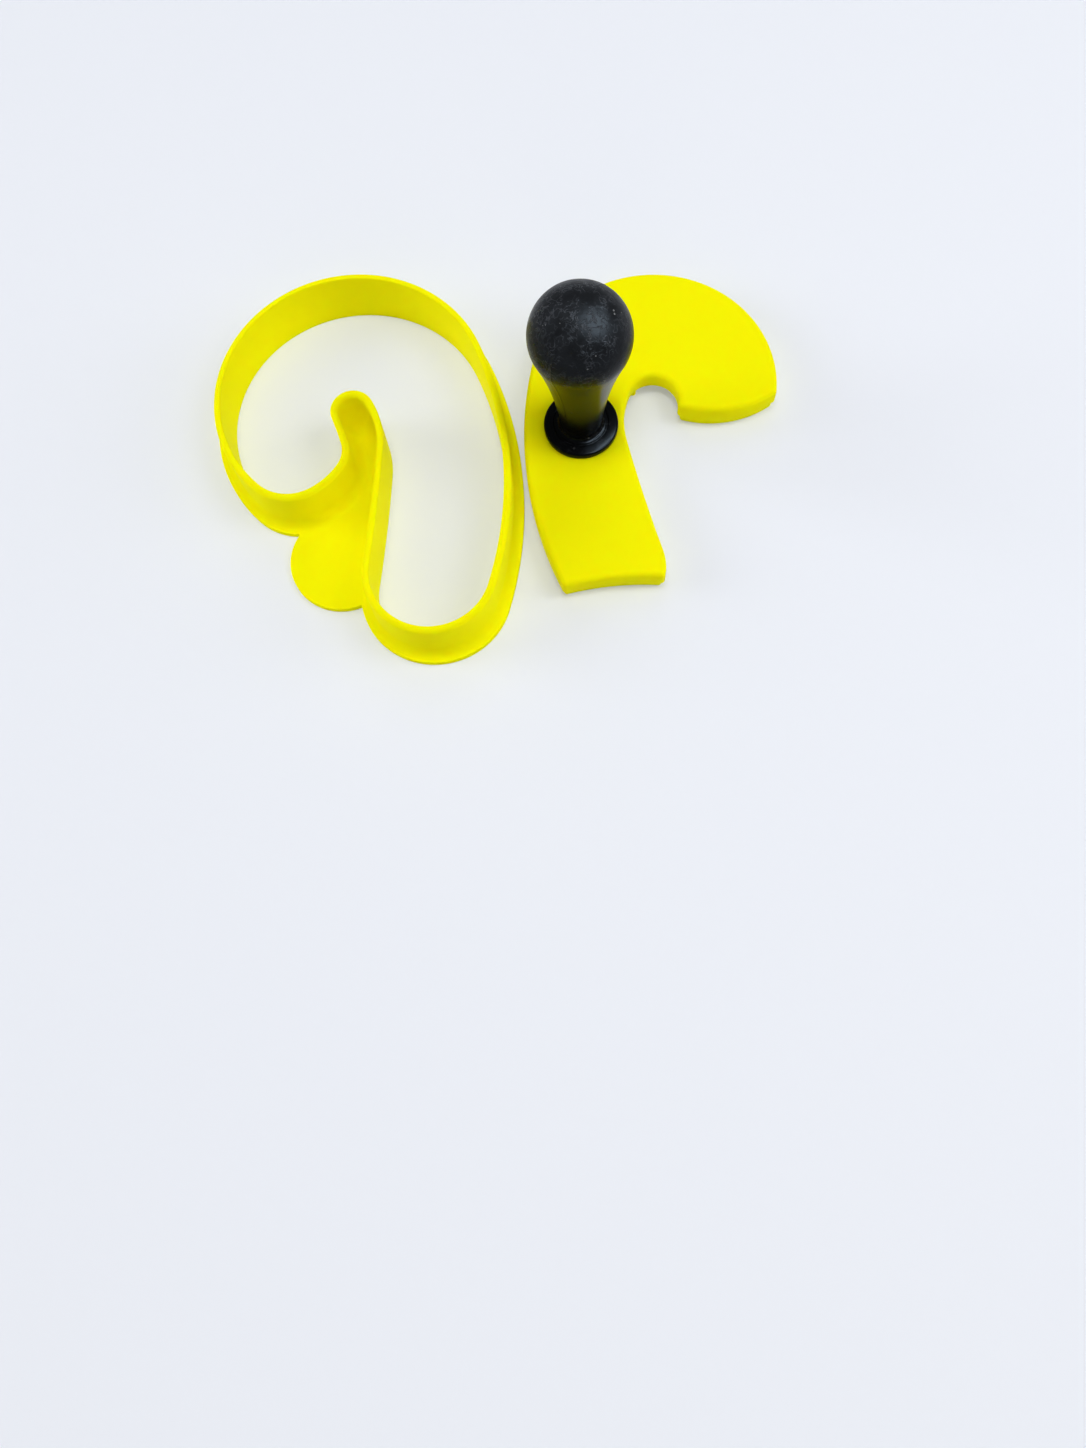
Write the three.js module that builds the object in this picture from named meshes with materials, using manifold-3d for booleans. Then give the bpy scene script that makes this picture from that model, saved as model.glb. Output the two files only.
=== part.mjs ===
// A cane-shaped biscuit cutter and its stamp, lying side by side as a set.
// Millimetres, +Z up. The cutter lies on its flange with the cutting rim up, so it is mirrored
// against the stamp, which stands on its ridges with its knob up.
import * as THREE from 'three';
import { mergeVertices } from 'three/addons/utils/BufferGeometryUtils.js';
import Module from 'manifold-3d';

const wasm = await Module();
wasm.setup();

// Cane outline: the blade's inner face, measured from the centre of the crown
const crownRadius = 31.3;
const stemSideRadius = 92; // long bow of the stem's outer side
const footShift = 12.2; // foot's centre, towards the stem's outer side
const footDrop = 48;
const footRadius = 13.9;
const stemInnerRadius = 400; // the stem's inner side is almost straight
const bendRadius = 22.7; // hollow where the stem turns into the slot
const bendAngle = 22; // degrees
const slotShift = 0.3;
const slotDrop = 4.6;
const slotRadius = 5.2; // round top of the slot between stem and hook
const flankRadius = 80; // hook's side of the slot
const flankAngle = 13.7; // degrees
const hookInnerRadius = 6.5;
const hookInset = 12.7; // centre of the hook's round end, in from the crown's side
const hookDrop = 6.8;
const hookTightness = 14; // how much less its radius is than the crown's
const hookOuterRadius = 10.5;

// Cutter
const wallHeight = 15.3;
const wallThickness = 1.7;
const rimRound = 0.5;
const flangeWidth = 2.4; // beyond the wall
const flangeThickness = 1.8;
const footFillet = 2;
const mouthRadius = 12; // hollow of the flange between foot and hook, under the tab
const tabShift = 8.8; // round tab that closes the slot's mouth
const tabDrop = 36.1;
const tabRadius = 12.7;

// Stamp plate
const stampClearance = 1.4; // between the plate's edge and the blade
const notchClearance = 1; // how much wider than the slot's round the plate's notch is
const notchShift = 2.3; // degrees that it leaves the stem's side early, which lowers its top
const plateThickness = 5;
const edgeRound = 1.3; // soft top edge
const cornerRadius = 1.5;
const stemEndShift = 4.2; // middle of the stem's hollow end, from the foot's centre
const stemEndDrop = 3;
const stemEndBow = 70.3;
const hookEndShift = 3.5; // middle of the hook's round end, from the centre of the hook
const hookEndDrop = 2.5;
const hookEndBow = 25.9;

// Ridges under the plate: stripes that cross the cane, each at a point, bowed about a far centre
const ridgeHeight = 3;
const ridgeWidth = 1.5;
const ridgeInset = 0.3; // back from the plate's edge
const endInset = 0.45; // the two end ridges, back from the plate's ends
const stripeReach = 18; // along the stripe to each side of its point
const stripes = [
  { x: -19, y: -28.2, towards: 270, bow: 60 },
  { x: -20.2, y: -7.7, towards: 260, bow: 36 },
  { x: -13.7, y: 9.6, towards: 232, bow: 63 },
  { x: 10.3, y: 12.3, towards: 166, bow: 39 },
];

// Plain face near the foot, placed from its centre: two oval eyes and a small smile
const eyeWidth = 4.8;
const eyeHeight = 5.8;
const eyes = [{ x: -10.6, y: 5.6 }, { x: 4.1, y: 7.2 }];
const faceTilt = 8; // degrees, with the stem's lean
const smileShift = 2.3; // centre of the smile's bow
const smileRise = 5.4;
const smileRadius = 3.9;
const smileWidth = 2.2;
const smileSpan = 64; // degrees

// Handle, on the plate's top face
const handleShift = 18;
const handleDrop = 11.8;
const ballRadius = 11.4;
const ballHeight = 37.3; // ball's centre above the base's underside
const neckRadius = 5.1; // just above the base
const neckBow = 130; // long hollow in which the neck swells into the ball
const baseRadius = 8.9;
const baseThickness = 2;
const baseRound = 0.7;
const baseFillet = 2.2;

// Threaded stud between handle and plate
const studRadius = 2.5;
const studChamfer = 0.5;
const studInHandle = 11;
const studInPlate = 3.5;
const studClearance = 0.3;
const seatGap = 0.3; // between pieces that seat on one another

// How the two items lie in the set
const cutterTurn = 9.4; // degrees
const stampTurn = 1.9;
const itemGap = 0.1; // between their boxes
const stampAhead = 6.5; // stamp's crown above the cutter's

// Fineness of the flats
const chordError = 0.04; // flats stay this close to the true arcs
const roundSteps = 5; // flats in a small edge round
const latheSteps = 44;

const radians = THREE.MathUtils.degToRad;

// Outlines are closed chains of tangent arcs, counter-clockwise; a hollow arc's radius is below zero
const arc = (x, y, radius) => ({ x, y, radius });

// The arc of a given radius that joins two arcs, touching both, left (1) or right (-1) of their centres' line
function between(a, b, radius, side = Math.sign(radius)) {
  const fromA = Math.abs(radius - a.radius);
  const fromB = Math.abs(radius - b.radius);
  const dx = b.x - a.x;
  const dy = b.y - a.y;
  const apart = Math.hypot(dx, dy);
  const along = (apart * apart + fromA * fromA - fromB * fromB) / (2 * apart);
  const across = side * Math.sqrt(fromA * fromA - along * along);
  return arc(a.x + (dx * along - dy * across) / apart, a.y + (dy * along + dx * across) / apart, radius);
}

// The arc that carries on from a given one, which it touches in the given direction
function carryOn(a, degrees, radius) {
  const reach = a.radius - radius;
  const angle = radians(degrees);
  return arc(a.x + reach * Math.cos(angle), a.y + reach * Math.sin(angle), radius);
}

const grow = (a, distance) => arc(a.x, a.y, a.radius + distance);
const mirror = (arcs) => arcs.map((a) => arc(-a.x, a.y, a.radius)).reverse();

// Points along a chain of arcs, each with its outward normal
function trace(arcs) {
  const leave = arcs.map((a, i) => {
    const next = arcs[(i + 1) % arcs.length];
    const gap = next.radius - a.radius;
    return Math.atan2((a.y - next.y) / gap, (a.x - next.x) / gap);
  });
  const samples = [];
  arcs.forEach((a, i) => {
    const start = leave[(i + arcs.length - 1) % arcs.length];
    const bend = Math.sign(a.radius);
    const sweep = bend * THREE.MathUtils.euclideanModulo(bend * (leave[i] - start), 2 * Math.PI);
    const stepAngle = 2 * Math.acos(1 - chordError / Math.max(Math.abs(a.radius), 1));
    const steps = Math.max(2, Math.ceil(Math.abs(sweep) / stepAngle));
    for (let k = 0; k < steps; k += 1) {
      const angle = start + (sweep * k) / steps;
      const normal = new THREE.Vector2(Math.cos(angle), Math.sin(angle));
      samples.push({ point: new THREE.Vector2(a.x, a.y).addScaledVector(normal, a.radius), normal });
    }
  });
  return samples;
}

const offsetPoints = (samples, distance) =>
  samples.map(({ point, normal }) => point.clone().addScaledVector(normal, distance));

// A round from one direction to another about a centre, as [offset, height] pairs
function sectionRound(x, z, radius, fromDegrees, toDegrees) {
  return Array.from({ length: roundSteps + 1 }, (unused, k) => {
    const angle = radians(fromDegrees + ((toDegrees - fromDegrees) * k) / roundSteps);
    return [x + radius * Math.cos(angle), z + radius * Math.sin(angle)];
  });
}

// A solid stacked up from an outline: each [offset, height] pair is one ring of it, from the bottom face up
function sweepAround(samples, section) {
  const rings = section.length;
  const count = samples.length;
  const positions = [];
  const index = [];
  samples.forEach(({ point, normal }) => {
    section.forEach(([offset, z]) => {
      positions.push(point.x + normal.x * offset, point.y + normal.y * offset, z);
    });
  });
  for (let i = 0; i < count; i += 1) {
    const here = i * rings;
    const there = ((i + 1) % count) * rings;
    for (let j = 0; j < rings - 1; j += 1) {
      index.push(here + j, there + j, there + j + 1, here + j, there + j + 1, here + j + 1);
    }
  }
  [0, rings - 1].forEach((ring) => {
    const outline = offsetPoints(samples, section[ring][0]);
    THREE.ShapeUtils.triangulateShape(outline, []).forEach(([a, b, c]) => {
      const face = [a, b, c].map((i) => i * rings + ring);
      index.push(...(ring === 0 ? face.reverse() : face));
    });
  });
  const geometry = new THREE.BufferGeometry();
  geometry.setAttribute('position', new THREE.Float32BufferAttribute(positions, 3));
  geometry.setIndex(index);
  return geometry;
}

// A flat slab of an outline between two heights
function slab(points, bottom, top) {
  const settings = { depth: top - bottom, bevelEnabled: false };
  return new THREE.ExtrudeGeometry(new THREE.Shape(points), settings).translate(0, 0, bottom);
}

// Closed meshes as solids that can be joined and cut, and back again
function solid(geometry) {
  const bare = geometry.clone();
  bare.deleteAttribute('normal');
  bare.deleteAttribute('uv');
  const merged = mergeVertices(bare, 1e-4);
  const vertProperties = new Float32Array(merged.attributes.position.array);
  const triVerts = new Uint32Array(merged.index.array);
  return new wasm.Manifold(new wasm.Mesh({ numProp: 3, vertProperties, triVerts }));
}

function geometryOf(body) {
  const mesh = body.getMesh();
  const geometry = new THREE.BufferGeometry();
  geometry.setAttribute('position', new THREE.Float32BufferAttribute(mesh.vertProperties, 3));
  geometry.setIndex(Array.from(mesh.triVerts));
  geometry.computeVertexNormals();
  return geometry;
}

function piece(name, geometry, color, roughness, metalness) {
  const mesh = new THREE.Mesh(geometry, new THREE.MeshStandardMaterial({ color, roughness, metalness }));
  mesh.name = name;
  return mesh;
}

// The cane, from its crown down the stem, round the foot, up into the slot and round the hook
const crown = arc(0, 0, crownRadius);
const foot = arc(-footShift, -footDrop, footRadius);
const stemSide = between(crown, foot, stemSideRadius);
const slot = arc(slotShift, -slotDrop, -slotRadius);
const bend = carryOn(slot, -bendAngle, -bendRadius);
const stemInner = between(foot, bend, -stemInnerRadius);
const flank = carryOn(slot, 180 - flankAngle, flankRadius);
const hookEnd = arc(crownRadius - hookInset, -hookDrop, crownRadius - hookTightness);
const hookInner = between(flank, hookEnd, hookInnerRadius);
const hookOuter = between(hookEnd, crown, hookOuterRadius);
const cane = [crown, stemSide, foot, stemInner, bend, slot, flank, hookInner, hookEnd, hookOuter];

// Where the stamp's plate stops short of the cane, at the foot and at the hook
const stemCut = arc(foot.x + stemEndShift, foot.y - stemEndDrop - stemEndBow, -stemEndBow);
const hookCut = arc(hookEnd.x - hookEndShift, hookEnd.y - hookEndDrop + hookEndBow, hookEndBow);

// Cutter: a thin wall on a flange, with the slot closed by a web and a round tab
function makeCutter() {
  const blade = trace(mirror(cane));
  const fillet = Math.min(footFillet, flangeWidth, slotRadius - wallThickness - rimRound);
  const outside = sweepAround(blade, [
    [wallThickness + fillet, flangeThickness / 2],
    ...sectionRound(wallThickness + fillet, flangeThickness + fillet, fillet, 270, 180),
    ...sectionRound(wallThickness - rimRound, wallHeight - rimRound, rimRound, 0, 90),
  ]);
  const inside = sweepAround(blade, [
    [0, -wallThickness],
    ...sectionRound(rimRound, wallHeight - rimRound, rimRound, 180, 90),
    [rimRound, wallHeight + wallThickness],
  ]);

  const reach = wallThickness + flangeWidth;
  const footEdge = grow(foot, reach);
  const hookEdge = grow(hookOuter, reach);
  const mouth = between(footEdge, hookEdge, -mouthRadius);
  const edge = [grow(crown, reach), grow(stemSide, reach), footEdge, mouth, hookEdge];
  const flange = slab(offsetPoints(trace(mirror(edge)), 0), 0, flangeThickness);
  const tab = new THREE.CylinderGeometry(tabRadius, tabRadius, flangeThickness, 2 * latheSteps);
  tab.rotateX(Math.PI / 2).translate(-tabShift, -tabDrop, flangeThickness / 2);
  const body = solid(flange).add(solid(tab)).add(solid(outside)).subtract(solid(inside));
  return piece('cutter', geometryOf(body), 0xf2ee00, 0.45, 0);
}

// Outline of the plate: the cane drawn in, and cut off at both ends
function plateArcs() {
  const inward = -stampClearance;
  const [top, side, toe, inner, turn] = [crown, stemSide, foot, stemInner, bend].map((a) => grow(a, inward));
  const notch = carryOn(turn, notchShift - bendAngle, -slotRadius - notchClearance);
  const corner = (a, b, side) => between(a, b, cornerRadius, side);
  return [
    top, side, corner(side, stemCut, -1), stemCut, corner(stemCut, toe, -1), toe,
    inner, turn, notch, corner(notch, hookCut, -1), hookCut, corner(hookCut, top, 1),
  ];
}

// A stripe's band about its bow's centre, as a closed outline
function band(x, y, bow, middle, reach) {
  const half = reach / bow;
  const path = new THREE.Shape();
  path.absarc(x, y, bow + ridgeWidth / 2, middle - half, middle + half, false);
  path.absarc(x, y, bow - ridgeWidth / 2, middle + half, middle - half, true);
  return path.getPoints(latheSteps / 2);
}

// The small smile: a bowed bar with round ends
function smileOutline() {
  const half = radians(smileSpan / 2);
  const down = -Math.PI / 2 + radians(faceTilt);
  const thick = smileWidth / 2;
  const x = foot.x - smileShift;
  const y = foot.y + smileRise;
  const end = (angle) => [x + smileRadius * Math.cos(angle), y + smileRadius * Math.sin(angle), thick];
  const path = new THREE.Shape();
  path.absarc(x, y, smileRadius + thick, down - half, down + half, false);
  path.absarc(...end(down + half), down + half, down + half + Math.PI, false);
  path.absarc(x, y, smileRadius - thick, down + half, down - half, true);
  path.absarc(...end(down - half), down - half + Math.PI, down - half + 2 * Math.PI, false);
  return path.getPoints(roundSteps + 3);
}

// Stamp plate: a thick plate with soft top edges, the stripes and the face standing out below it
function makePlate() {
  const outline = trace(plateArcs());
  const top = ridgeHeight + plateThickness;
  const round = Math.min(edgeRound, 0.9 * cornerRadius, plateThickness / 2);
  const plate = sweepAround(outline, [
    [0, ridgeHeight],
    ...sectionRound(-round, top - round, round, 0, 90),
  ]);

  const ridgeTop = ridgeHeight + plateThickness / 4;
  const within = solid(slab(offsetPoints(outline, -ridgeInset), 0, ridgeTop));
  const inset = ridgeWidth / 2 + endInset;
  const bands = stripes.map((stripe) => {
    const aim = radians(stripe.towards);
    const x = stripe.x + stripe.bow * Math.cos(aim);
    const y = stripe.y + stripe.bow * Math.sin(aim);
    return band(x, y, stripe.bow, aim + Math.PI, stripeReach);
  });
  bands.push(band(stemCut.x, stemCut.y, stemEndBow + inset, Math.PI / 2, stripeReach));
  bands.push(band(hookCut.x, hookCut.y, hookEndBow - inset, -Math.PI / 2, stripeReach));

  const face = eyes.map(({ x, y }) => {
    const oval = new THREE.EllipseCurve(foot.x + x, foot.y + y, eyeWidth / 2, eyeHeight / 2);
    oval.aRotation = radians(faceTilt);
    return oval.getPoints(latheSteps / 2).slice(0, -1);
  });
  face.push(smileOutline());

  const socketRadius = studRadius + studClearance;
  const socketLength = 2 * (studInPlate + studClearance);
  const socket = new THREE.CylinderGeometry(socketRadius, socketRadius, socketLength, latheSteps / 2);
  socket.rotateX(Math.PI / 2).translate(-handleShift, -handleDrop, top);

  let body = solid(plate);
  bands.forEach((points) => {
    body = body.add(solid(slab(points, 0, ridgeTop)).intersect(within));
  });
  face.forEach((points) => {
    body = body.add(solid(slab(points, 0, ridgeTop)));
  });
  return piece('stamp_plate', geometryOf(body.subtract(solid(socket))), 0xf2ee00, 0.42, 0);
}

// A turned piece about its own axis, from [radius, height] pairs
function turned(pairs) {
  const profile = pairs.map(([radius, height]) => new THREE.Vector2(radius, height));
  return new THREE.LatheGeometry(profile, latheSteps).rotateX(Math.PI / 2);
}

// Handle: a neck that swells into a ball, on a round base, hollow for the stud
function makeHandle() {
  const socketRadius = studRadius + studClearance;
  const socketTop = studInHandle + studClearance;
  const neckFoot = arc(neckRadius, baseThickness + baseFillet, 0);
  const ballTop = arc(0, ballHeight, ballRadius);
  const hollow = between(neckFoot, ballTop, -neckBow);
  const neckStart = Math.atan2(neckFoot.y - hollow.y, neckFoot.x - hollow.x);
  const neckEnd = Math.atan2(ballTop.y - hollow.y, ballTop.x - hollow.x);
  const neck = Array.from({ length: 3 * roundSteps }, (unused, k) => {
    const angle = neckStart + ((neckEnd - neckStart) * k) / (3 * roundSteps);
    return [hollow.x + neckBow * Math.cos(angle), hollow.y + neckBow * Math.sin(angle)];
  });
  const ball = Array.from({ length: 3 * roundSteps + 1 }, (unused, k) => {
    const angle = neckEnd - Math.PI + ((1.5 * Math.PI - neckEnd) * k) / (3 * roundSteps);
    return [ballRadius * Math.cos(angle), ballHeight + ballRadius * Math.sin(angle)];
  });
  return piece('stamp_handle', turned([
    [0, socketTop],
    [socketRadius, socketTop],
    [socketRadius, 0],
    ...sectionRound(baseRadius - baseRound, baseRound, baseRound, 270, 360),
    ...sectionRound(baseRadius - baseRound, baseThickness - baseRound, baseRound, 0, 90),
    ...sectionRound(neckRadius + baseFillet, neckFoot.y, baseFillet, 270, 180).slice(0, -1),
    ...neck,
    ...ball,
  ]), 0x161616, 0.55, 0);
}

// Stud: a plain rod with chamfered ends, half in the handle and half in the plate
function makeStud() {
  const tip = studRadius - studChamfer;
  return piece('handle_stud', turned([
    [0, -studInPlate],
    [tip, -studInPlate],
    [studRadius, -studInPlate + studChamfer],
    [studRadius, studInHandle - studChamfer],
    [tip, studInHandle],
    [0, studInHandle],
  ]), 0xa8a8a4, 0.35, 1);
}

// The set: each item turned, the stamp laid beside the cutter, and the whole centred over the origin
const handle = makeHandle();
const stud = makeStud();
const plateTop = ridgeHeight + plateThickness;
handle.position.set(-handleShift, -handleDrop, plateTop + seatGap);
stud.position.set(-handleShift, -handleDrop, plateTop);

const cutterItem = new THREE.Group().add(makeCutter());
const stampItem = new THREE.Group().add(makePlate(), handle, stud);
cutterItem.rotation.z = radians(cutterTurn);
stampItem.rotation.z = radians(stampTurn);

const boxOf = (item) => new THREE.Box3().setFromObject(item, true);
const beside = boxOf(cutterItem).max.x - boxOf(stampItem).min.x + itemGap;
stampItem.position.set(beside, stampAhead, 0);

const set = new THREE.Group().add(cutterItem, stampItem);
const box = boxOf(set);
const centre = box.getCenter(new THREE.Vector3());
set.position.set(-centre.x, -centre.y, -box.min.z);

export default set;
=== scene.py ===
# A cane-shaped biscuit cutter and its stamp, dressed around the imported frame.
# Outlines and sections are drawn in millimetres, then laid in place in metres.
import math
from collections import namedtuple

import bmesh
import bpy
from mathutils import Matrix, Vector


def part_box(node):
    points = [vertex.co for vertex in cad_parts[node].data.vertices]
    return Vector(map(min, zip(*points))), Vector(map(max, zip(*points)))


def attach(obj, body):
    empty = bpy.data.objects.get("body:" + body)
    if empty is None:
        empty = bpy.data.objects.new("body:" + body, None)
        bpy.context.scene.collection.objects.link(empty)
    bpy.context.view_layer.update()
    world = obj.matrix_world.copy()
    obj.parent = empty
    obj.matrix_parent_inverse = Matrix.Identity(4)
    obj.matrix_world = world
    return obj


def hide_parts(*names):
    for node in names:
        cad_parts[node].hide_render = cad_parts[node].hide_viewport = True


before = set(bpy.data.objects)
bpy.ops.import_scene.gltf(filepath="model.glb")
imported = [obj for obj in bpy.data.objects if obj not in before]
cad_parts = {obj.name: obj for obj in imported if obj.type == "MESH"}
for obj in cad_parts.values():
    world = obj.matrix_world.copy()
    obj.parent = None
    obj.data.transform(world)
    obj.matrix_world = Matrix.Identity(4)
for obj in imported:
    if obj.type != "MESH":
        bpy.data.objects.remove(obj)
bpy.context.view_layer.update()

millimetre = 0.001
print("frame loaded:", ", ".join(sorted(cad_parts)))


# Outlines: closed chains of arcs that touch, counter-clockwise; a hollow arc's radius is below zero

arc = namedtuple("arc", "x y radius")


# the arc that touches two others, left (1) or right (-1) of the line between their centres
def between(a, b, radius, side=None):
    side = side or math.copysign(1, radius)
    fromA, fromB = abs(radius - a.radius), abs(radius - b.radius)
    dx, dy = b.x - a.x, b.y - a.y
    apart = math.hypot(dx, dy)
    along = (apart**2 + fromA**2 - fromB**2) / (2 * apart)
    across = side * math.sqrt(fromA**2 - along**2)
    return arc(a.x + (dx * along - dy * across) / apart, a.y + (dy * along + dx * across) / apart, radius)


def carryOn(a, degrees, radius):  # the arc that touches a given one in a direction
    reach = a.radius - radius
    angle = math.radians(degrees)
    return arc(a.x + reach * math.cos(angle), a.y + reach * math.sin(angle), radius)


def grow(a, distance):
    return arc(a.x, a.y, a.radius + distance)


def mirrored(arcs):
    return [arc(-a.x, a.y, a.radius) for a in reversed(arcs)]


def turnsOf(arcs):  # where each arc starts and how far it runs, in radians
    leave = []
    for a, after in zip(arcs, arcs[1:] + arcs[:1]):
        gap = after.radius - a.radius
        leave.append(math.atan2((a.y - after.y) / gap, (a.x - after.x) / gap))
    turns = []
    for i, a in enumerate(arcs):
        bend = math.copysign(1, a.radius)
        turns.append((leave[i - 1], bend * ((bend * (leave[i] - leave[i - 1])) % (2 * math.pi))))
    return turns


def pointOn(a, angle, offset=0):
    return a.x + (a.radius + offset) * math.cos(angle), a.y + (a.radius + offset) * math.sin(angle)


# Modelling helpers

chordError = 0.008  # mm that a flat may stand off its arc
leastRadius = 1  # mm; tighter arcs take their steps from this
fewestSteps = 4
mergeDistance = 0.002  # mm
sameLevel = 0.001  # mm within which two heights are one
zAxis = (0, 0, 1)


def stepsAlong(a, sweep):
    stepAngle = 2 * math.acos(1 - chordError / max(abs(a.radius), leastRadius))
    return max(fewestSteps, math.ceil(abs(sweep) / stepAngle))


def drawWire(bm, points):  # an open line through points that are [position, size of the round there]
    verts = [bm.verts.new(position) for position, size in points]
    for pair in zip(verts, verts[1:]):
        bm.edges.new(pair)
    return verts


def roundCorners(bm, verts, sizes, segments):  # each corner of a wire gets its own round
    for vert, size in zip(verts, sizes):
        if size:
            bmesh.ops.bevel(bm, geom=[vert], offset=size, offset_type="OFFSET", affect="VERTICES",
                            segments=segments, profile=0.5, material=-1)


roundReach = 5  # a stretched round reaches up less than this many times its size


def scaleRound(bm, geom, corner, place, factors):  # the round at one corner of a section, about that corner
    offset, height, size = corner
    curve = [vert for vert in geom if isinstance(vert, bmesh.types.BMVert)
             and -sameLevel < vert.co.z - height < roundReach * size]
    toCorner = Matrix.Translation((-place[0], -place[1], -height))
    bmesh.ops.scale(bm, vec=factors, space=toCorner, verts=curve)


def sweepSection(arcs, section, segments, stretch=1, swell=None):  # [offset, height, round] points, spun
    bm = bmesh.new()
    swell = swell or {}  # arcs along which the second point's round grows or shrinks
    corner = section[1]
    turns = turnsOf(arcs)
    points = [((*pointOn(arcs[0], turns[0][0], offset), height), size) for offset, height, size in section]
    verts = drawWire(bm, points)
    roundCorners(bm, verts, [size for position, size in points], segments)
    geom = bm.verts[:] + bm.edges[:]
    if stretch != 1:
        scaleRound(bm, geom, corner, pointOn(arcs[0], turns[0][0], corner[0]), (1, 1, stretch))
    for i, (a, (start, sweep)) in enumerate(zip(arcs, turns)):
        steps = stepsAlong(a, sweep)
        runs = steps if i in swell else 1
        for k in range(1, runs + 1):
            spun = bmesh.ops.spin(bm, geom=geom, cent=(a.x, a.y, 0), axis=zAxis, angle=sweep / runs,
                                  steps=steps // runs)
            geom = spun["geom_last"]
            if i in swell:
                scaleRound(bm, geom, corner, pointOn(a, start + sweep * k / runs, corner[0]),
                           [factor ** (1 / runs) for factor in swell[i]])
    bmesh.ops.remove_doubles(bm, verts=bm.verts, dist=mergeDistance)
    return bm


def drawLoop(bm, arcs, height, steps=None):  # one vertex spun round a whole outline
    known = set(bm.edges)
    turns = turnsOf(arcs)
    first = last = bm.verts.new((*pointOn(arcs[0], turns[0][0]), height))
    for i, (a, (start, sweep)) in enumerate(zip(arcs, turns)):
        spun = bmesh.ops.spin(bm, geom=[last], cent=(a.x, a.y, height), axis=zAxis, angle=sweep,
                              steps=steps[i] if steps else stepsAlong(a, sweep))
        last = next(item for item in spun["geom_last"] if isinstance(item, bmesh.types.BMVert))
    bmesh.ops.weld_verts(bm, targetmap={last: first})
    return [edge for edge in bm.edges if edge not in known]


def edgesAt(verts):  # each once, in the order of the vertices
    return list(dict.fromkeys(edge for vert in verts for edge in vert.link_edges))


def fillFlat(bm, edges):
    bmesh.ops.triangle_fill(bm, edges=edges, use_beauty=True, use_dissolve=False, normal=zAxis)


def openEdges(bm, height):  # edges at one height that still want a face
    return [edge for edge in bm.edges if len(edge.link_faces) < 2
            and all(abs(vert.co.z - height) < sameLevel for vert in edge.verts)]


def finishPiece(bm, name, place, sharpAngle=40):
    bmesh.ops.remove_doubles(bm, verts=bm.verts, dist=mergeDistance)
    bmesh.ops.recalc_face_normals(bm, faces=bm.faces)
    for face in bm.faces:
        face.smooth = True
    for edge in bm.edges:
        edge.smooth = len(edge.link_faces) == 2 and edge.calc_face_angle() < math.radians(sharpAngle)
    bmesh.ops.transform(bm, matrix=place, verts=bm.verts)
    mesh = bpy.data.meshes.new(name)
    bm.to_mesh(mesh)
    bm.free()
    piece = bpy.data.objects.new(name, mesh)
    bpy.context.scene.collection.objects.link(piece)
    return piece


def layOn(bm, node, turn):  # turned and scaled, its far corner where the node's is
    scaled = Matrix.Rotation(math.radians(turn), 4, "Z") @ Matrix.Scale(millimetre, 4)
    corners = [scaled @ vert.co for vert in bm.verts]
    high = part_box(node)[1]
    shift = (high.x - max(c.x for c in corners), high.y - max(c.y for c in corners), 0)
    return Matrix.Translation(shift) @ scaled


# Cane: the outline that the cutter's blade follows, measured from the centre of its crown

cane = {
    "crownRadius": 31.3,
    "stemSideRadius": 92,
    "footShift": 12.2,
    "footDrop": 48,
    "footRadius": 13.9,
    "stemInnerRadius": 400,
    "bendRadius": 22.7,
    "bendAngle": 22,
    "slotShift": 0.3,
    "slotDrop": 4.6,
    "slotRadius": 5.2,
    "flankRadius": 80,
    "flankAngle": 13.7,
    "hookInnerRadius": 6.5,
    "hookInset": 12.7,
    "hookDrop": 6.8,
    "hookTightness": 14,
    "hookOuterRadius": 10.5,
}

crown = arc(0, 0, cane["crownRadius"])
foot = arc(-cane["footShift"], -cane["footDrop"], cane["footRadius"])
stemSide = between(crown, foot, cane["stemSideRadius"])
slot = arc(cane["slotShift"], -cane["slotDrop"], -cane["slotRadius"])
bend = carryOn(slot, -cane["bendAngle"], -cane["bendRadius"])
stemInner = between(foot, bend, -cane["stemInnerRadius"])
flank = carryOn(slot, 180 - cane["flankAngle"], cane["flankRadius"])
hookEnd = arc(crown.radius - cane["hookInset"], -cane["hookDrop"], crown.radius - cane["hookTightness"])
hookInner = between(flank, hookEnd, cane["hookInnerRadius"])
hookOuter = between(hookEnd, crown, cane["hookOuterRadius"])
blade = [crown, stemSide, foot, stemInner, bend, slot, flank, hookInner, hookEnd, hookOuter]


# Materials

def startMaterial(name):
    material = bpy.data.materials.new(name)
    material.use_nodes = True
    return material, material.node_tree, material.node_tree.nodes["Principled BSDF"]


def addNode(tree, kind, sockets=None, **settings):
    node = tree.nodes.new(kind)
    for key, value in settings.items():
        setattr(node, key, value)
    for key, value in (sockets or {}).items():
        if isinstance(value, bpy.types.NodeSocket):
            tree.links.new(value, node.inputs[key])
        else:
            node.inputs[key].default_value = value
    return node


def objectCoords(tree):
    return addNode(tree, "ShaderNodeTexCoord").outputs["Object"]


def noise(tree, coords, scale, detail=2, roughness=0.5, distortion=0):
    sockets = {"Vector": coords, "Scale": scale, "Detail": detail, "Roughness": roughness,
               "Distortion": distortion}
    return addNode(tree, "ShaderNodeTexNoise", sockets).outputs["Fac"]


def remap(tree, value, fromLow, fromHigh, toLow=0, toHigh=1):
    sockets = {"Value": value, "From Min": fromLow, "From Max": fromHigh, "To Min": toLow, "To Max": toHigh}
    return addNode(tree, "ShaderNodeMapRange", sockets).outputs["Result"]


def calculate(tree, operation, a, b=0):
    return addNode(tree, "ShaderNodeMath", {0: a, 1: b}, operation=operation).outputs[0]


def times(tree, a, b):
    return calculate(tree, "MULTIPLY", a, b)


def plus(tree, a, b):
    return calculate(tree, "ADD", a, b)


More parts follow.
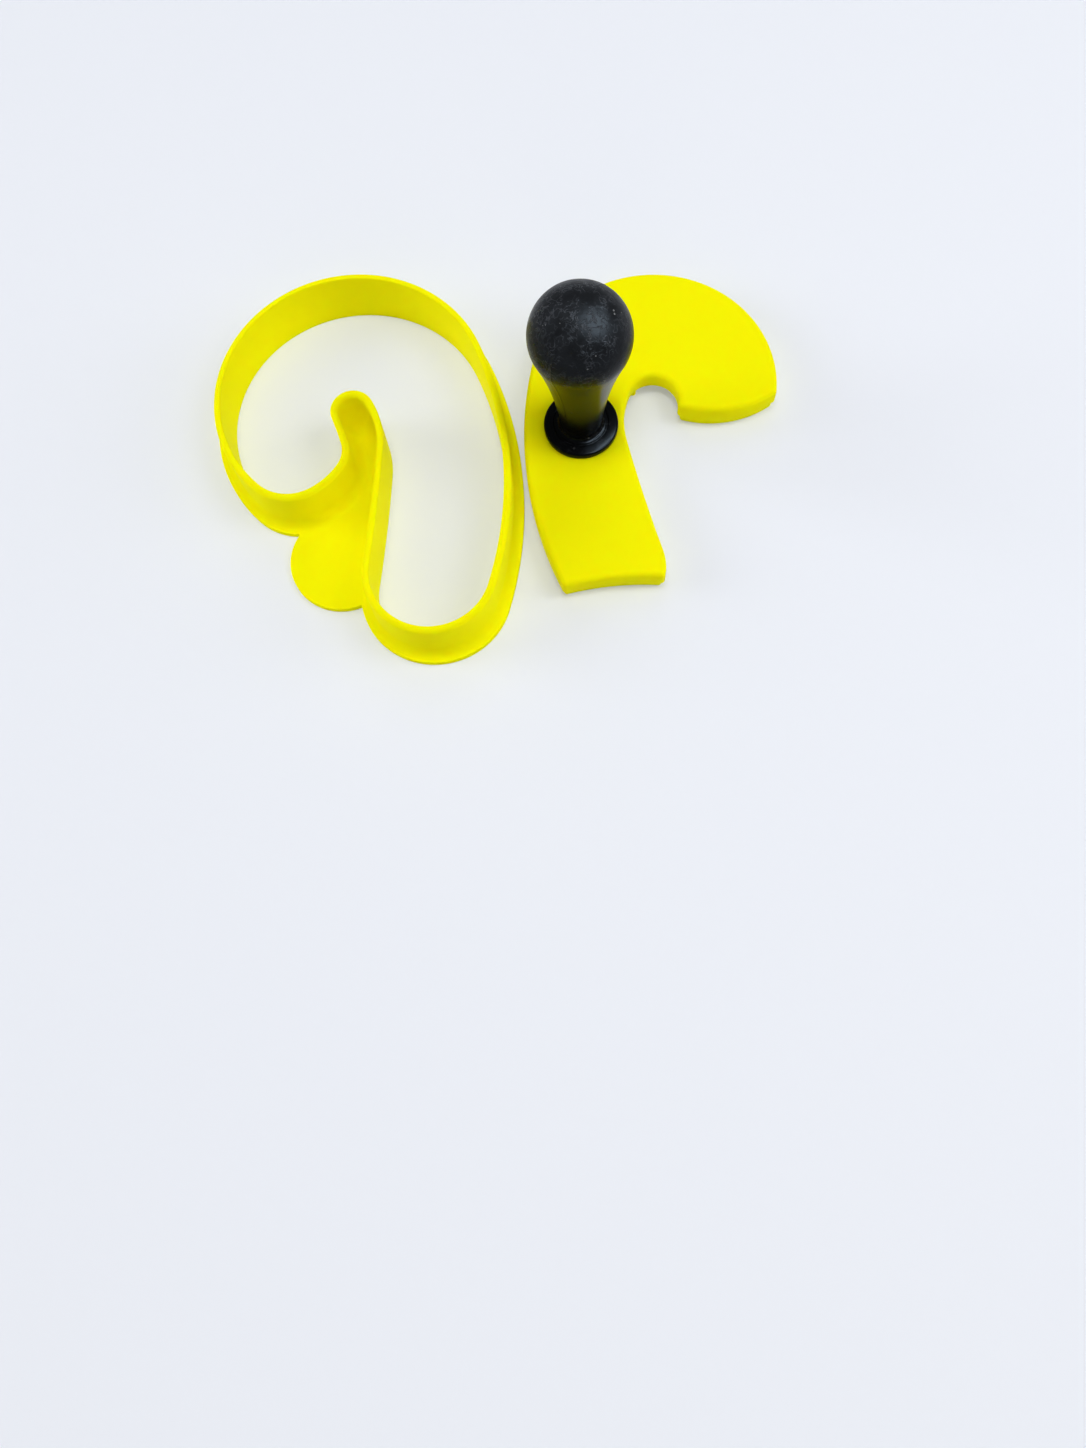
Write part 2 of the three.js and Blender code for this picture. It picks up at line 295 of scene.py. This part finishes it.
def mixColour(tree, factor, a, b):  # ShaderNodeMix keeps its colour sockets at 6 and 7
    return addNode(tree, "ShaderNodeMix", {0: factor, 6: a, 7: b}, data_type="RGBA").outputs[2]


def bump(tree, height, distance, strength):
    sockets = {"Height": height, "Distance": distance, "Strength": strength}
    return addNode(tree, "ShaderNodeBump", sockets).outputs["Normal"]


yellowFinish = {
    "deep": (0.975, 0.900, 0.0020, 1),
    "light": (0.990, 0.935, 0.0025, 1),
    "specular": 0.004,
    "sheenTint": (1.0, 0.93, 0.05, 1),
    "depth": 0.5,  # share of the light that scatters inside
    "depthReach": (1.0, 0.62, 0.02),
    "depthScale": 0.0018,
    "cloudScale": 45,  # clouding in the plastic, per metre
    "grainScale": 1900,  # fine moulded grain
    "noiseRange": (0.3, 0.7),  # the part of both patterns that is used
    "leastLight": 0.35,  # share of the light tone where the clouds are deepest
    "roughLow": 0.40,
    "roughHigh": 0.52,
    "grainDepth": 0.00004,
    "grainStrength": 0.25,
}


def makeYellow():
    f = yellowFinish
    material, tree, shader = startMaterial("yellowPlastic")
    coords = objectCoords(tree)
    cloud = noise(tree, coords, f["cloudScale"], detail=3)
    grain = noise(tree, coords, f["grainScale"], detail=3, roughness=0.6)
    lightness = remap(tree, cloud, *f["noiseRange"], f["leastLight"], 1)
    rough = remap(tree, grain, *f["noiseRange"], f["roughLow"], f["roughHigh"])
    tree.links.new(mixColour(tree, lightness, f["deep"], f["light"]), shader.inputs["Base Color"])
    tree.links.new(rough, shader.inputs["Roughness"])
    tree.links.new(bump(tree, grain, f["grainDepth"], f["grainStrength"]), shader.inputs["Normal"])
    shader.inputs["Specular IOR Level"].default_value = f["specular"]
    shader.inputs["Specular Tint"].default_value = f["sheenTint"]
    shader.inputs["Subsurface Weight"].default_value = f["depth"]
    shader.inputs["Subsurface Radius"].default_value = f["depthReach"]
    shader.inputs["Subsurface Scale"].default_value = f["depthScale"]
    return material


blackFinish = {
    "black": (0.0022, 0.0023, 0.0026, 1),
    "paintedSheen": (0.0190, 0.0212, 0.0250, 1),  # painted sheen: a paler tone on the ball towards its top, standing in for the reflection of the light above
    "scuffed": (0.090, 0.099, 0.115, 1),
    "speck": (0.22, 0.23, 0.24, 1),
    "specular": 0.08,
    "sheenTint": (0.68, 0.84, 1.0, 1),
    "swirlScale": 260,  # warp of the scuffs, per metre
    "swirlReach": 0.0016,
    "hazeRange": (0.35, 0.7),
    "scuffScale": 600,
    "scuffWidth": 0.034,
    "baseWear": 0.22,  # how much of the scuffs and specks the neck and base have
    "patchScale": 95,  # areas with more wear
    "patchRange": (0.38, 0.58),
    "speckScale": 560,
    "speckless": 0.40,  # share of the cells that hold no speck
    "speckSize": 0.19,  # largest, in cells
    "neckTop": 0.037,  # metres; the neck below is smoother than the handled ball
    "ballFoot": 0.053,
    "paintedSheenFrom": 0.046,  # the painted sheen starts here and grows towards the ball's top
    "paintedSheenTo": 0.056,
    "leastPaintedSheen": 0.5,  # share of the painted sheen where the haze is thin
    "neckRough": 0.20,
    "roughLow": 0.28,
    "roughHigh": 0.44,
    "hazeHeight": 0.4,
    "scuffHeight": 0.6,
    "reliefDepth": 0.00022,
    "reliefStrength": 0.9,
}


def makeBlack():
    f = blackFinish
    material, tree, shader = startMaterial("blackPlastic")
    coords = objectCoords(tree)
    swirl = addNode(tree, "ShaderNodeTexNoise", {"Vector": coords, "Scale": f["swirlScale"], "Detail": 2})
    warp = {0: swirl.outputs["Color"], 1: (f["swirlReach"],) * 3, 2: coords}
    pushed = addNode(tree, "ShaderNodeVectorMath", warp, operation="MULTIPLY_ADD").outputs[0]
    winding = noise(tree, pushed, f["scuffScale"], detail=3, roughness=0.55, distortion=0.6)
    off = calculate(tree, "ABSOLUTE", plus(tree, winding, -0.5))
    line = remap(tree, off, 0, f["scuffWidth"], 1, 0)  # thin winding lines along one level of the noise
    patch = remap(tree, noise(tree, coords, f["patchScale"], detail=3), *f["patchRange"])
    cells = addNode(tree, "ShaderNodeTexVoronoi", {"Vector": coords, "Scale": f["speckScale"]})
    chance = addNode(tree, "ShaderNodeSeparateColor", {0: cells.outputs["Color"]}).outputs[0]
    size = remap(tree, chance, f["speckless"], 1, 0, f["speckSize"])
    near = calculate(tree, "LESS_THAN", cells.outputs["Distance"], size)
    haze = remap(tree, noise(tree, coords, f["swirlScale"], detail=4), *f["hazeRange"])

    rise = addNode(tree, "ShaderNodeSeparateXYZ", {0: coords}).outputs["Z"]
    handled = remap(tree, rise, f["neckTop"], f["ballFoot"])
    strokes = times(tree, line, times(tree, patch, haze))  # short, where both are strong
    wear = remap(tree, handled, 0, 1, f["baseWear"], 1)
    scuff = times(tree, strokes, wear)
    speck = times(tree, times(tree, near, patch), wear)
    # painted sheen: the ball's colour turns paler towards its top, standing in for the reflection of the
    # light above, blotched by the haze
    towardsTop = remap(tree, rise, f["paintedSheenFrom"], f["paintedSheenTo"])
    paintedSheenShare = times(tree, towardsTop, remap(tree, haze, 0, 1, f["leastPaintedSheen"], 1))
    colour = mixColour(tree, scuff, mixColour(tree, paintedSheenShare, f["black"], f["paintedSheen"]), f["scuffed"])
    tree.links.new(mixColour(tree, speck, colour, f["speck"]), shader.inputs["Base Color"])
    ballRough = remap(tree, haze, 0, 1, f["roughLow"] - f["neckRough"], f["roughHigh"] - f["neckRough"])
    tree.links.new(plus(tree, times(tree, handled, ballRough), f["neckRough"]), shader.inputs["Roughness"])
    height = plus(tree, times(tree, haze, f["hazeHeight"]), times(tree, scuff, f["scuffHeight"]))
    relief = bump(tree, times(tree, height, handled), f["reliefDepth"], f["reliefStrength"])
    tree.links.new(relief, shader.inputs["Normal"])
    shader.inputs["Specular IOR Level"].default_value = f["specular"]
    shader.inputs["Specular Tint"].default_value = f["sheenTint"]
    return material


steelFinish = {
    "steel": (0.52, 0.52, 0.50, 1),
    "dull": (0.36, 0.36, 0.35, 1),
    "cloudScale": 900,
    "ringScale": 1400,  # turning marks
    "ringWarp": 0.6,
    "ringDepth": 0.0001,
    "ringStrength": 0.3,
    "roughLow": 0.28,
    "roughHigh": 0.42,
}


def makeSteel():
    f = steelFinish
    material, tree, shader = startMaterial("turnedSteel")
    coords = objectCoords(tree)
    marks = {"Vector": coords, "Scale": f["ringScale"], "Distortion": f["ringWarp"]}
    rings = addNode(tree, "ShaderNodeTexWave", marks, bands_direction="Z").outputs["Fac"]
    colour = mixColour(tree, noise(tree, coords, f["cloudScale"]), f["dull"], f["steel"])
    tree.links.new(colour, shader.inputs["Base Color"])
    tree.links.new(remap(tree, rings, 0, 1, f["roughLow"], f["roughHigh"]), shader.inputs["Roughness"])
    tree.links.new(bump(tree, rings, f["ringDepth"], f["ringStrength"]), shader.inputs["Normal"])
    shader.inputs["Metallic"].default_value = 1
    return material


yellowPlastic, blackPlastic, turnedSteel = makeYellow(), makeBlack(), makeSteel()
print("materials made")


def dress(piece, node, body, material):
    piece.data.materials.append(material)
    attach(piece, body)
    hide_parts(node)
    print("piece made:", piece.name, len(piece.data.polygons), "faces")


# Cutter: the wall and its flange are swept as two sections, and flat faces join them

cutter = {
    "turn": 9.4,
    "wallHeight": 15.3,
    "wallThickness": 1.7,
    "rimRound": 1.2,  # outer edge of the rim
    "rimInnerRound": 0.35,
    "footFillet": 2.1,
    "footStretch": 1.6,  # how much taller than wide the fillet is
    "slotSwell": (1.55, 1.55, 2.5),  # how much larger it grows in the slot
    "heelRound": 0.2,  # lower edges
    "flangeWidth": 2.4,
    "flangeThickness": 1.8,
    "flangeRound": 0.16,
    "tabShift": 8.8,
    "tabDrop": 36.1,
    "tabRadius": 12.7,
    "creaseRadius": 0.3,  # where the tab runs into the flange
    "margin": 0.05,  # narrow flat beside each round, which keeps its shading clean
    "wallSegments": 8,  # in each round
    "flangeSegments": 6,
}


def makeCutter():
    c = cutter
    wall, top, flangeTop, margin = c["wallThickness"], c["wallHeight"], c["flangeThickness"], c["margin"]
    order = blade[::-1]  # as the mirrored path runs
    swell = {order.index(hookInner): c["slotSwell"],
             order.index(stemInner): [1 / factor for factor in c["slotSwell"]]}
    bm = sweepSection(mirrored(blade), [
        (wall + c["footFillet"] + margin, flangeTop, 0),
        (wall, flangeTop, c["footFillet"]),
        (wall, top, c["rimRound"]),
        (0, top, c["rimInnerRound"]),
        (0, 0, c["heelRound"]),
        (c["heelRound"] + margin, 0, 0),
    ], c["wallSegments"], c["footStretch"], swell)

    reach = wall + c["flangeWidth"]
    tab = arc(c["tabShift"], -c["tabDrop"], c["tabRadius"])
    footEdge, hookEdge = grow(foot, reach), grow(hookOuter, reach)
    edge = [
        grow(crown, reach), grow(stemSide, reach), footEdge,
        between(footEdge, tab, -c["creaseRadius"]), tab, between(tab, hookEdge, -c["creaseRadius"]),
        hookEdge,
    ]
    inward = -c["flangeRound"] - margin
    rim = sweepSection(mirrored(edge), [
        (inward, flangeTop, 0),
        (0, flangeTop, c["flangeRound"]),
        (0, 0, c["heelRound"]),
        (inward, 0, 0),
    ], c["flangeSegments"])
    rimMesh = bpy.data.meshes.new("flangeRim")
    rim.to_mesh(rimMesh)
    rim.free()
    bm.from_mesh(rimMesh)
    bpy.data.meshes.remove(rimMesh)

    fillFlat(bm, openEdges(bm, flangeTop))
    fillFlat(bm, openEdges(bm, 0))
    piece = finishPiece(bm, "cane_cutter", layOn(bm, "cutter", c["turn"]))
    dress(piece, "cutter", "cutter", yellowPlastic)


makeCutter()


# Stamp plate: the cane drawn in and cut off at both ends, soft on top, with ridges below

plate = {
    "turn": 1.9,
    "clearance": 1.4,  # from the blade
    "notchClearance": 1,  # how much wider than the slot's round the notch is
    "notchShift": 2.3,  # degrees that it leaves the stem's side early
    "thickness": 5,
    "topRound": 1.3,
    "topSteps": 8,
    "lipRound": 0.25,  # lower edge
    "lipMiddle": 0.3,  # where the middle of its round lies, as a share of it
    "cornerRadius": 1.0,
    "cornerLeast": 0.3,
    "margin": 0.4,  # narrow flat inside the top round, which keeps its shading clean
    "stemEndShift": 4.2,
    "stemEndDrop": 3,
    "stemEndBow": 70.3,
    "hookEndShift": 3.5,
    "hookEndDrop": 2.5,
    "hookEndBow": 25.9,
}

ridges = {
    "height": 3,
    "width": 1.5,
    "endInset": 0.75,  # from the plate's ends
    "edgeRound": 0.32,
    "ends": {"stem": (6.7, 15.1), "hook": (8.0, 13.9)},  # reach to each side of the end's middle
    "stripes": [  # a point on each, where its bow's centre lies, the bow, and its reach to each side
        {"x": -19, "y": -28.2, "towards": 270, "bow": 60, "before": 13.8, "after": 10.6},
        {"x": -20.2, "y": -7.7, "towards": 260, "bow": 36, "before": 12.2, "after": 10.1},
        {"x": -13.7, "y": 9.6, "towards": 232, "bow": 63, "before": 12.5, "after": 11.9},
        {"x": 10.3, "y": 12.3, "towards": 166, "bow": 39, "before": 12.5, "after": 14.2},
    ],
}

face = {  # measured from the foot's centre
    "eyeWidth": 4.8,
    "eyeHeight": 5.8,
    "eyeSteps": 56,
    "eyes": [(-10.6, 5.6), (4.1, 7.2)],
    "tilt": 8,
    "smileShift": 2.3,
    "smileRise": 5.4,
    "smileRadius": 3.9,
    "smileWidth": 2.2,
    "smileSpan": 64,
}

stud = {"radius": 2.5, "clearance": 0.3, "inPlate": 3.5, "inHandle": 11, "socketSteps": 48}

stemCut = arc(foot.x + plate["stemEndShift"], foot.y - plate["stemEndDrop"] - plate["stemEndBow"],
              -plate["stemEndBow"])
hookCut = arc(hookEnd.x - plate["hookEndShift"], hookEnd.y - plate["hookEndDrop"] + plate["hookEndBow"],
              plate["hookEndBow"])
knobAxis = (-18, -11.8)  # on the plate, from the crown's centre


def plateOutline(inset):  # solved again at each inset, so that the corners stay crisp
    drawn = [grow(a, -plate["clearance"] - inset) for a in (crown, stemSide, foot, stemInner, bend)]
    top, side, toe, inner, turn = drawn
    notch = carryOn(turn, plate["notchShift"] - cane["bendAngle"],
                    -cane["slotRadius"] - plate["notchClearance"] - inset)
    stemEnd, hookTip = grow(stemCut, -inset), grow(hookCut, -inset)
    radius = max(plate["cornerRadius"] - inset, plate["cornerLeast"])
    return [
        top, side, between(side, stemEnd, radius, -1), stemEnd, between(stemEnd, toe, radius, -1), toe,
        inner, turn, notch, between(notch, hookTip, radius, -1), hookTip,
        between(hookTip, top, radius, 1),
    ]


def bowedBar(x, y, bow, width, middle, before, after):  # a bar with round ends, bent about a centre
    start, stop = middle - before / bow, middle + after / bow
    tips = [arc(x + bow * math.cos(angle), y + bow * math.sin(angle), width / 2) for angle in (stop, start)]
    return [arc(x, y, bow + width / 2), tips[0], arc(x, y, width / 2 - bow), tips[1]]


def ridgeOutlines():
    bars = []
    for stripe in ridges["stripes"]:
        aim = math.radians(stripe["towards"])
        x = stripe["x"] + stripe["bow"] * math.cos(aim)
        y = stripe["y"] + stripe["bow"] * math.sin(aim)
        bars.append(bowedBar(x, y, stripe["bow"], ridges["width"], aim + math.pi,
                             stripe["before"], stripe["after"]))
    back = ridges["endInset"] + ridges["width"] / 2
    bars.append(bowedBar(stemCut.x, stemCut.y, plate["stemEndBow"] + back, ridges["width"], math.pi / 2,
                         *ridges["ends"]["stem"]))
    bars.append(bowedBar(hookCut.x, hookCut.y, plate["hookEndBow"] - back, ridges["width"], -math.pi / 2,
                         *ridges["ends"]["hook"]))
    half = math.radians(face["smileSpan"] / 2) * face["smileRadius"]
    bars.append(bowedBar(foot.x - face["smileShift"], foot.y + face["smileRise"], face["smileRadius"],
                         face["smileWidth"], math.radians(face["tilt"] - 90), half, half))
    return bars


def dropRidge(bm, loop):  # a loop on the underside, drawn down to the ground and closed there
    drawn = bmesh.ops.extrude_edge_only(bm, edges=loop)["geom"]
    lower = [item for item in drawn if isinstance(item, bmesh.types.BMVert)]
    bmesh.ops.translate(bm, verts=lower, vec=(0, 0, -ridges["height"]))
    rim = [edge for edge in drawn if isinstance(edge, bmesh.types.BMEdge)
           and all(vert.co.z < sameLevel for vert in edge.verts)]
    bmesh.ops.contextual_create(bm, geom=rim)
    return rim


def makePlate():
    p = plate
    bm = bmesh.new()
    bottom = ridges["height"]
    top = bottom + p["thickness"]
    lip, lipMiddle = p["lipRound"], p["lipRound"] * p["lipMiddle"]
    levels = [(lip, bottom), (lipMiddle, bottom + lipMiddle), (0, bottom + lip)]  # inset, height
    for k in range(p["topSteps"] + 1):
        angle = math.pi / 2 * k / p["topSteps"]
        levels.append((p["topRound"] * (1 - math.cos(angle)), top - p["topRound"] * (1 - math.sin(angle))))

    outline = plateOutline(0)
    steps = [stepsAlong(a, sweep) for a, (start, sweep) in zip(outline, turnsOf(outline))]
    loops = [drawLoop(bm, plateOutline(inset), height, steps) for inset, height in levels]
    for lower, upper in zip(loops, loops[1:]):
        bmesh.ops.bridge_loops(bm, edges=lower + upper)

    socket = bmesh.ops.create_circle(bm, segments=stud["socketSteps"],
                                     radius=stud["radius"] + stud["clearance"],
                                     matrix=Matrix.Translation((*knobAxis, top)))["verts"]
    mouth = edgesAt(socket)
    inner = drawLoop(bm, plateOutline(p["topRound"] + p["margin"]), top)
    fillFlat(bm, loops[-1] + inner)
    fillFlat(bm, inner + mouth)
    drawn = bmesh.ops.extrude_edge_only(bm, edges=mouth)["geom"]
    deep = [item for item in drawn if isinstance(item, bmesh.types.BMVert)]
    bmesh.ops.translate(bm, verts=deep, vec=(0, 0, -stud["inPlate"] - stud["clearance"]))
    bmesh.ops.contextual_create(bm, geom=deep)

    outlines = [drawLoop(bm, bar, bottom) for bar in ridgeOutlines()]
    for x, y in face["eyes"]:
        place = Matrix.Translation((foot.x + x, foot.y + y, bottom)) \
            @ Matrix.Rotation(math.radians(face["tilt"]), 4, "Z") \
            @ Matrix.Diagonal((face["eyeWidth"] / 2, face["eyeHeight"] / 2, 1, 1))
        oval = bmesh.ops.create_circle(bm, segments=face["eyeSteps"], radius=1, matrix=place)["verts"]
        outlines.append(edgesAt(oval))
    fillFlat(bm, loops[0] + [edge for loop in outlines for edge in loop])
    rims = [edge for loop in outlines for edge in dropRidge(bm, loop)]
    bmesh.ops.recalc_face_normals(bm, faces=bm.faces)
    bmesh.ops.bevel(bm, geom=rims, offset=ridges["edgeRound"], offset_type="OFFSET", affect="EDGES",
                    segments=3, profile=0.5, material=-1)
    piece = finishPiece(bm, "cane_stamp", layOn(bm, "stamp_plate", p["turn"]))
    dress(piece, "stamp_plate", "stamp", yellowPlastic)


makePlate()


# Knob: a section of the base, neck and ball, spun round in two halves with a mould line between them

knob = {
    "ballRadius": 11.4,
    "ballHeight": 37.3,  # centre, above the base's underside
    "neckRadius": 5.1,
    "neckBow": 130,
    "baseRadius": 8.9,
    "baseThickness": 2,
    "baseRound": 0.55,
    "heelRound": 0.25,  # lower edge of the base
    "baseFall": 0.35,  # how much lower the base is at its edge
    "grooveRadius": 6.5,
    "grooveWidth": 0.3,
    "grooveDepth": 0.15,
    "grooveRound": 0.08,
    "baseFillet": 1.1,
    "filletShare": 0.9,  # how much of that height is round
    "gap": 0.02,  # under the base
    "seamTurn": 237,  # degrees, where the mould line faces
    "seamAngle": 1.5,  # its width
    "seamRise": 0.06,
    "halfSteps": 60,
    "neckSteps": 24,
    "ballSteps": 48,
    "cornerSteps": 6,
}


def makeKnob():
    k = knob
    bm = bmesh.new()
    hole = stud["radius"] + stud["clearance"]
    depth = stud["inHandle"] + stud["clearance"]
    shoulder, edge = k["baseThickness"], k["baseThickness"] - k["baseFall"]
    groove, lip = k["grooveRadius"], k["grooveWidth"] / 2
    neckFoot = arc(k["neckRadius"], k["baseThickness"] + k["baseFillet"], 0)
    ball = arc(0, k["ballHeight"], k["ballRadius"])
    hollow = between(neckFoot, ball, -k["neckBow"])
    points = [  # radius, height, round
        (0, depth, 0), (hole, depth, 0), (hole, 0, 0),
        (k["baseRadius"], 0, k["heelRound"]), (k["baseRadius"], edge, k["baseRound"]),
        (groove + lip, shoulder, k["grooveRound"]), (groove, shoulder - k["grooveDepth"], 0),
        (groove - lip, shoulder, k["grooveRound"]),
        (neckFoot.x, shoulder, k["filletShare"] * k["baseFillet"]), (neckFoot.x, neckFoot.y, 0),
    ]
    verts = drawWire(bm, [((radius, 0, height), size) for radius, height, size in points])
    neckStart = math.atan2(neckFoot.y - hollow.y, neckFoot.x - hollow.x)
    neckEnd = math.atan2(ball.y - hollow.y, ball.x - hollow.x)
    neckSweep = (neckEnd - neckStart + math.pi) % (2 * math.pi) - math.pi
    ballSweep = math.pi / 2 - (neckEnd - math.pi)
    last = verts[-1]
    for centre, sweep, steps in ((hollow, neckSweep, k["neckSteps"]), (ball, ballSweep, k["ballSteps"])):
        spun = bmesh.ops.spin(bm, geom=[last], cent=(centre.x, 0, centre.y), axis=(0, -1, 0), angle=sweep,
                              steps=steps)
        last = next(item for item in spun["geom_last"] if isinstance(item, bmesh.types.BMVert))
    roundCorners(bm, verts, [size for radius, height, size in points], k["cornerSteps"])

    geom = bm.verts[:] + bm.edges[:]
    seam = math.radians(k["seamAngle"])
    for half in range(2):
        for sweep, steps in ((seam / 2, 1), (math.pi - seam, k["halfSteps"]), (seam / 2, 1)):
            spun = bmesh.ops.spin(bm, geom=geom, cent=(0, 0, 0), axis=zAxis, angle=sweep, steps=steps)
            geom = spun["geom_last"]
    bmesh.ops.remove_doubles(bm, verts=bm.verts, dist=mergeDistance)
    for vert in bm.verts:  # the mould line stands out a little where the two halves met
        if abs(vert.co.y) < sameLevel and vert.co.z > shoulder and abs(vert.co.x) > hole:
            vert.co.x += math.copysign(k["seamRise"], vert.co.x)

    low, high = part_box("stamp_handle")
    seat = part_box("stamp_plate")[1].z + k["gap"] * millimetre
    place = Matrix.Translation(((low.x + high.x) / 2, (low.y + high.y) / 2, seat)) \
        @ Matrix.Rotation(math.radians(k["seamTurn"]), 4, "Z") @ Matrix.Scale(millimetre, 4)
    piece = finishPiece(bm, "stamp_knob", place)
    dress(piece, "stamp_handle", "stamp", blackPlastic)


makeKnob()

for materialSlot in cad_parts["handle_stud"].material_slots:
    materialSlot.material = turnedSteel


# Floor, light and camera

studio = {
    "floorSize": 4,
    "floorDrop": 0.0001,  # under the pieces
    "floorColour": (0.86, 0.895, 0.97, 1),
    "floorLift": 0.3,  # share of the backdrop's colour seen on it, so that it stays pale by the walls
    "floorRough": 0.8,
    "floorSpecular": 0.1,
    "fadeFrom": 0.45,  # metres from the middle, where the floor starts to turn into the backdrop
    "fadeTo": 1.0,
    "backdrop": (0.82, 0.855, 0.93, 1),
    "ambient": (0.97, 0.985, 1.0, 1),
    "ambientStrength": 0.165,
    "lamps": [  # name, place, size in metres, watts, colour, lights surfaces, shows in reflections
        ("overheadLamp", (-0.02, -0.05, 1.30), 0.4, 4.8, (1, 0.99, 0.98), True, False),
        ("keyLamp", (0.62, -0.06, 0.98), 0.55, 2.9, (1, 0.99, 0.98), True, False),
        ("keyReflection", (0.62, -0.06, 0.98), 1.0, 54, (0.94, 0.98, 1), False, True),
        ("rightLamp", (1.15, 0.05, 0.50), 0.7, 3.8, (1, 0.99, 0.98), True, False),
        ("leftLamp", (-1.15, 0.05, 0.50), 0.7, 6.0, (1, 0.99, 0.98), True, False),
        ("farLamp", (0.1, 0.8, 1.0), 0.9, 2.2, (1, 0.99, 0.98), True, False),
        ("frontLamp", (0, -1.1, 0.55), 0.7, 1.3, (1, 0.84, 0.6), True, False),
    ],
}


def makeFloor():
    bm = bmesh.new()
    bmesh.ops.create_grid(bm, x_segments=1, y_segments=1, size=studio["floorSize"] / 2,
                          matrix=Matrix.Translation((0, 0, -studio["floorDrop"])))
    mesh = bpy.data.meshes.new("studio_floor")
    bm.to_mesh(mesh)
    bm.free()
    floor = bpy.data.objects.new("studio_floor", mesh)
    bpy.context.scene.collection.objects.link(floor)
    material, tree, shader = startMaterial("paleFloor")
    shader.inputs["Base Color"].default_value = studio["floorColour"]
    shader.inputs["Roughness"].default_value = studio["floorRough"]
    shader.inputs["Specular IOR Level"].default_value = studio["floorSpecular"]
    path = addNode(tree, "ShaderNodeLightPath").outputs
    direct = plus(tree, plus(tree, path["Is Camera Ray"], path["Is Glossy Ray"]), path["Is Transmission Ray"])
    lift = times(tree, direct, studio["floorLift"])
    away = addNode(tree, "ShaderNodeVectorMath", {0: objectCoords(tree)}, operation="LENGTH").outputs["Value"]
    glow = addNode(tree, "ShaderNodeEmission", {"Color": studio["backdrop"], "Strength": 1})
    fade = remap(tree, away, studio["fadeFrom"], studio["fadeTo"])
    share = calculate(tree, "MAXIMUM", fade, lift)
    faded = addNode(tree, "ShaderNodeMixShader", {0: share, 1: shader.outputs[0], 2: glow.outputs[0]})
    tree.links.new(faded.outputs[0], tree.nodes["Material Output"].inputs["Surface"])
    mesh.materials.append(material)


def makeWorld():
    world = bpy.data.worlds.new("studioWorld")
    world.use_nodes = True
    bpy.context.scene.world = world
    tree = world.node_tree
    light = tree.nodes["Background"]
    light.inputs["Color"].default_value = studio["ambient"]
    light.inputs["Strength"].default_value = studio["ambientStrength"]
    seen = addNode(tree, "ShaderNodeBackground", {"Color": studio["backdrop"], "Strength": 1})
    path = addNode(tree, "ShaderNodeLightPath").outputs
    direct = calculate(tree, "MAXIMUM", path["Is Camera Ray"], path["Is Transmission Ray"])
    mixed = addNode(tree, "ShaderNodeMixShader", {0: direct, 1: light.outputs[0], 2: seen.outputs[0]})
    tree.links.new(mixed.outputs[0], tree.nodes["World Output"].inputs["Surface"])


def makeLamps():
    for name, place, size, power, colour, lights, shows in studio["lamps"]:
        lamp = bpy.data.lights.new(name, "AREA")
        lamp.shape = "DISK"
        lamp.size = size
        lamp.energy = power
        lamp.color = colour
        holder = bpy.data.objects.new(name, lamp)
        holder.location = place
        holder.rotation_euler = (-Vector(place)).to_track_quat("-Z", "Y").to_euler()
        holder.visible_diffuse, holder.visible_glossy = lights, shows
        bpy.context.scene.collection.objects.link(holder)


camera = {
    "place": (0.021645, -0.142168, 0.27230),
    "tilt": 15.912,  # degrees back from straight down
    "roll": 2.0746,
    "lens": 30.56,
    "nearest": 0.01,  # metres, the least distance that it sees
}


def makeCamera():
    lensData = bpy.data.cameras.new("photoCamera")
    lensData.lens = camera["lens"]
    lensData.clip_start = camera["nearest"]
    holder = bpy.data.objects.new("photoCamera", lensData)
    holder.location = camera["place"]
    holder.rotation_euler = (math.radians(camera["tilt"]), math.radians(camera["roll"]), 0)
    bpy.context.scene.collection.objects.link(holder)
    bpy.context.scene.camera = holder


makeFloor()
makeWorld()
makeLamps()
makeCamera()
bpy.context.scene.view_settings.view_transform = "Standard"
print("studio made")
